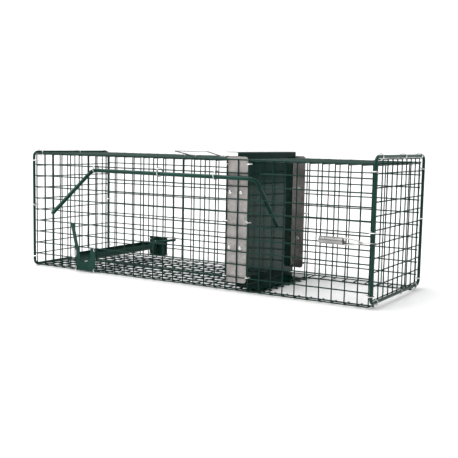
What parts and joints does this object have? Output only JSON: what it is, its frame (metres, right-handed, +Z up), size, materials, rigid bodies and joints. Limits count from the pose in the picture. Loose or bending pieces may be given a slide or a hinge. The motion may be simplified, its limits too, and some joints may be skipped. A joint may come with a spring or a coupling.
{
  "type": "live catch trap",
  "caption": "Wire mesh live catch trap with a drop gate in guides, a rocking trigger rod, a treadle, a hinged entry door with a spring latch and a folding carrying handle.",
  "frame": {"origin": "on the ground, under the middle of the mesh box", "axes": "+X along the trap from the closed end to the entry door, +Y to the back, +Z up"},
  "size_m": [0.8201, 0.3881, 0.2696],
  "materials": {
    "coated_wire": "dark green coated steel wire and rod, satin to glossy",
    "coated_sheet": "dark green coated sheet steel, satin",
    "gloss_green_sheet": "very dark green, glossy coated sheet steel",
    "galvanised_steel": "galvanised sheet and wire, dull grey with a faint spangle",
    "bright_wire": "bright zinc plated wire"
  },
  "bodies": {
    "cage": {"mesh_front": "coated_wire", "mesh_back": "coated_wire", "mesh_top_trap_side": "coated_wire", "mesh_top_entry_side": "coated_wire", "mesh_floor": "coated_wire", "floor_strip_front": "coated_wire", "floor_strip_back": "coated_wire", "mesh_end": "coated_wire", "end_frame": "coated_wire", "gate_guide_front": "galvanised_steel", "gate_guide_back": "galvanised_steel", "treadle_bracket_front": "coated_sheet", "treadle_bracket_back": "coated_sheet", "handle_guard_plate": "coated_sheet", "trigger_bearing_ring_1": "bright_wire", "trigger_bearing_ring_2": "bright_wire", "trigger_bearing_ring_3": "bright_wire", "door_hinge_ring_1": "bright_wire", "door_hinge_ring_2": "bright_wire", "door_hinge_ring_3": "bright_wire", "end_ring_side_1": "bright_wire", "end_ring_side_2": "bright_wire", "end_ring_side_3": "bright_wire", "end_ring_top_1": "bright_wire", "end_ring_top_2": "bright_wire", "end_ring_top_3": "bright_wire", "treadle_stop_ring": "bright_wire"},
    "gate": {"gate": "gloss_green_sheet"},
    "trigger": {"trigger_rod": "coated_wire"},
    "treadle": {"treadle_trough": "coated_sheet", "treadle_lever": "coated_sheet", "treadle_stop_arm": "coated_wire", "treadle_pivot_pin": "coated_wire"},
    "handle": {"handle_bail": "galvanised_steel"},
    "door": {"door_frame": "coated_wire", "door_mesh": "coated_wire"},
    "latch": {"latch_spring": "galvanised_steel", "latch_hook": "bright_wire"}
  },
  "joints": [
    {"name": "gate_lift", "type": "slide", "parent": "cage", "child": "gate", "axis": [0, 0, 1], "range_m": [0, 0.205]},
    {"name": "trigger_turn", "type": "hinge", "parent": "cage", "child": "trigger", "pos_m": [-0.23, -0.1319, 0.221], "axis": [1, 0, -0.005], "range_deg": [0, 48]},
    {"name": "treadle_tilt", "type": "hinge", "parent": "cage", "child": "treadle", "pos_m": [-0.2565, 0, 0.0392], "axis": [0, 1, 0], "range_deg": [0, 27]},
    {"name": "handle_swing", "type": "hinge", "parent": "cage", "child": "handle", "pos_m": [-0.0175, 0, 0.25338], "axis": [-1, 0, 0], "range_deg": [0, 160]},
    {"name": "door_swing", "type": "hinge", "parent": "cage", "child": "door", "pos_m": [0.402, 0.1285, 0.138], "axis": [0, 0, 1], "range_deg": [0, 110], "deforming": ["latch_hook", "door_hinge_ring_1", "door_hinge_ring_2", "door_hinge_ring_3"]},
    {"name": "latch_swing", "type": "hinge", "parent": "cage", "child": "latch", "pos_m": [0.3, -0.1272, 0.1172], "axis": [0, 0, -1], "range_deg": [0, 70]}
  ],
  "couplings": [
    {"joint": "trigger_turn", "follows": "gate_lift", "rad_per_m": 4.086}
  ]
}
